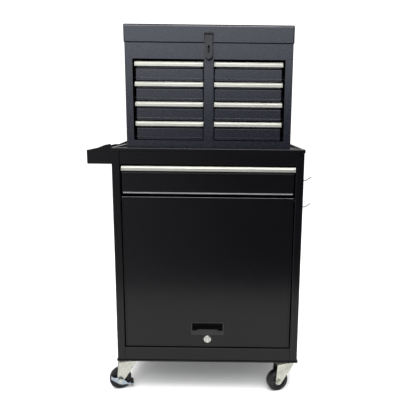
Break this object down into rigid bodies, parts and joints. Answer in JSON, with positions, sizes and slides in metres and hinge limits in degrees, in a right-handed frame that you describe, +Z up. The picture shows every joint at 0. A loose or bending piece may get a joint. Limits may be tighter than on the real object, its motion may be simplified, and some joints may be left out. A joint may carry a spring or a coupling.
{
  "type": "rolling tool cabinet",
  "caption": "Rolling tool cabinet on swivel casters: a lift-off chest with small drawers and a hinged lid, on a steel cabinet with a wide drawer and a slide-away door.",
  "frame": {"origin": "middle of the bounding box, on the floor", "axes": "+X to the right seen from the front, +Y to the back, +Z up"},
  "size_m": [0.6316, 0.3384, 1.042],
  "materials": {
    "cabinet_paint": "semi-gloss",
    "chest_paint": "fine texture, satin",
    "hardware_paint": "satin",
    "handle_aluminium": "satin anodised",
    "zinc_steel": "zinc plated",
    "chrome": "polished",
    "tyre": "matte",
    "nylon": "matte",
    "hook_coating": "dipped coating",
    "pull_plastic": "satin moulding"
  },
  "bodies": {
    "cabinet": {"cabinet_left_side": "cabinet_paint", "cabinet_right_side": "cabinet_paint", "cabinet_back": "cabinet_paint", "cabinet_top": "cabinet_paint", "cabinet_base": "cabinet_paint", "front_top_rail": "cabinet_paint", "front_bottom_rail": "cabinet_paint", "large_drawer_runners": "zinc_steel", "door_tracks": "zinc_steel", "side_tray": "cabinet_paint", "side_hooks": "hook_coating", "cabinet_fasteners": "zinc_steel", "caster_plates": "zinc_steel"},
    "chest": {"chest_wrap": "chest_paint", "chest_back_panel": "chest_paint", "chest_base": "chest_paint", "chest_till_floor": "chest_paint", "chest_mullion": "chest_paint", "chest_runners": "zinc_steel", "lid_hinge_lower_leaf": "hardware_paint", "hasp_staple": "hardware_paint"},
    "lid": {"lid_shell": "chest_paint", "lid_hinge_upper_leaf": "hardware_paint", "hasp_bracket": "hardware_paint"},
    "hasp_strap": {"hasp_strap": "hardware_paint"},
    "large_drawer": {"large_drawer_front": "cabinet_paint", "large_drawer_tray": "cabinet_paint", "large_drawer_handle": "handle_aluminium", "large_drawer_slides": "zinc_steel"},
    "door_carriage": {"door_glides": "nylon"},
    "door": {"door_panel": "cabinet_paint", "door_pull": "pull_plastic", "lock_housing": "chrome"},
    "lock_cylinder": {"lock_cylinder": "chrome"},
    "drawer_left_1": {"drawer_left_1": "chest_paint", "handle_left_1": "handle_aluminium"},
    "drawer_left_2": {"drawer_left_2": "chest_paint", "handle_left_2": "handle_aluminium"},
    "drawer_left_3": {"drawer_left_3": "chest_paint", "handle_left_3": "handle_aluminium"},
    "drawer_left_4": {"drawer_left_4": "chest_paint", "handle_left_4": "handle_aluminium"},
    "drawer_right_1": {"drawer_right_1": "chest_paint", "handle_right_1": "handle_aluminium"},
    "drawer_right_2": {"drawer_right_2": "chest_paint", "handle_right_2": "handle_aluminium"},
    "drawer_right_3": {"drawer_right_3": "chest_paint", "handle_right_3": "handle_aluminium"},
    "drawer_right_4": {"drawer_right_4": "chest_paint", "handle_right_4": "handle_aluminium"},
    "caster_fork_front_left": {"caster_fork_front_left": "zinc_steel"},
    "caster_wheel_front_left": {"caster_wheel_front_left": "tyre"},
    "brake_lever_front_left": {"brake_lever_front_left": "zinc_steel"},
    "caster_fork_front_right": {"caster_fork_front_right": "zinc_steel"},
    "caster_wheel_front_right": {"caster_wheel_front_right": "tyre"},
    "caster_fork_rear_left": {"caster_fork_rear_left": "zinc_steel"},
    "caster_wheel_rear_left": {"caster_wheel_rear_left": "tyre"},
    "caster_fork_rear_right": {"caster_fork_rear_right": "zinc_steel"},
    "caster_wheel_rear_right": {"caster_wheel_rear_right": "tyre"},
    "brake_lever_rear_right": {"brake_lever_rear_right": "zinc_steel"}
  },
  "joints": [
    {"name": "chest_lift", "type": "slide", "parent": "cabinet", "child": "chest", "axis": [0, 0, 1], "range_m": [0, 0.12]},
    {"name": "lid_open", "type": "hinge", "parent": "chest", "child": "lid", "pos_m": [0.01321, 0.13635, 0.9965], "axis": [-1, 0, 0], "range_deg": [0, 95]},
    {"name": "hasp_swing", "type": "hinge", "parent": "lid", "child": "hasp_strap", "pos_m": [0.01321, -0.13365, 1.0185], "axis": [-1, 0, 0], "range_deg": [-12.5, 160]},
    {"name": "large_drawer_slide", "type": "slide", "parent": "cabinet", "child": "large_drawer", "axis": [0, -1, 0], "range_m": [0, 0.24]},
    {"name": "door_slide", "type": "slide", "parent": "cabinet", "child": "door_carriage", "axis": [0, 1, 0], "range_m": [0, 0.28]},
    {"name": "door_swing", "type": "hinge", "parent": "door_carriage", "child": "door", "pos_m": [0.01321, -0.15125, 0.576], "axis": [-1, 0, 0], "range_deg": [0, 90]},
    {"name": "lock_turn", "type": "hinge", "parent": "door", "child": "lock_cylinder", "pos_m": [0.01321, -0.14295, 0.172], "axis": [0, 1, 0], "range_deg": [0, 90]},
    {"name": "drawer_left_1_slide", "type": "slide", "parent": "chest", "child": "drawer_left_1", "axis": [0, -1, 0], "range_m": [0, 0.17]},
    {"name": "drawer_left_2_slide", "type": "slide", "parent": "chest", "child": "drawer_left_2", "axis": [0, -1, 0], "range_m": [0, 0.17]},
    {"name": "drawer_left_3_slide", "type": "slide", "parent": "chest", "child": "drawer_left_3", "axis": [0, -1, 0], "range_m": [0, 0.17]},
    {"name": "drawer_left_4_slide", "type": "slide", "parent": "chest", "child": "drawer_left_4", "axis": [0, -1, 0], "range_m": [0, 0.17]},
    {"name": "drawer_right_1_slide", "type": "slide", "parent": "chest", "child": "drawer_right_1", "axis": [0, -1, 0], "range_m": [0, 0.17]},
    {"name": "drawer_right_2_slide", "type": "slide", "parent": "chest", "child": "drawer_right_2", "axis": [0, -1, 0], "range_m": [0, 0.17]},
    {"name": "drawer_right_3_slide", "type": "slide", "parent": "chest", "child": "drawer_right_3", "axis": [0, -1, 0], "range_m": [0, 0.17]},
    {"name": "drawer_right_4_slide", "type": "slide", "parent": "chest", "child": "drawer_right_4", "axis": [0, -1, 0], "range_m": [0, 0.17]},
    {"name": "front_left_swivel", "type": "hinge", "parent": "cabinet", "child": "caster_fork_front_left", "pos_m": [-0.22079, -0.12525, 0.0895], "axis": [0, 0, 1], "continuous": true},
    {"name": "front_left_wheel_spin", "type": "hinge", "parent": "caster_fork_front_left", "child": "caster_wheel_front_left", "pos_m": [-0.24841, -0.13265, 0.03175], "axis": [0.2588, -0.9659, 0], "continuous": true},
    {"name": "front_left_brake", "type": "hinge", "parent": "caster_fork_front_left", "child": "brake_lever_front_left", "pos_m": [-0.24841, -0.13265, 0.03175], "axis": [-0.2588, 0.9659, 0], "range_deg": [0, 12]},
    {"name": "front_right_swivel", "type": "hinge", "parent": "cabinet", "child": "caster_fork_front_right", "pos_m": [0.24721, -0.12525, 0.0895], "axis": [0, 0, 1], "continuous": true},
    {"name": "front_right_wheel_spin", "type": "hinge", "parent": "caster_fork_front_right", "child": "caster_wheel_front_right", "pos_m": [0.22001, -0.13409, 0.03175], "axis": [0.309, -0.9511, 0], "continuous": true},
    {"name": "rear_left_swivel", "type": "hinge", "parent": "cabinet", "child": "caster_fork_rear_left", "pos_m": [-0.22079, 0.12875, 0.0895], "axis": [0, 0, 1], "continuous": true},
    {"name": "rear_left_wheel_spin", "type": "hinge", "parent": "caster_fork_rear_left", "child": "caster_wheel_rear_left", "pos_m": [-0.24896, 0.12378, 0.03175], "axis": [0.1736, -0.9848, 0], "continuous": true},
    {"name": "rear_right_swivel", "type": "hinge", "parent": "cabinet", "child": "caster_fork_rear_right", "pos_m": [0.24721, 0.12875, 0.0895], "axis": [0, 0, 1], "continuous": true},
    {"name": "rear_right_wheel_spin", "type": "hinge", "parent": "caster_fork_rear_right", "child": "caster_wheel_rear_right", "pos_m": [0.22069, 0.11804, 0.03175], "axis": [0.3746, -0.9272, 0], "continuous": true},
    {"name": "rear_right_brake", "type": "hinge", "parent": "caster_fork_rear_right", "child": "brake_lever_rear_right", "pos_m": [0.22069, 0.11804, 0.03175], "axis": [-0.3746, 0.9272, 0], "range_deg": [0, 12]}
  ]
}
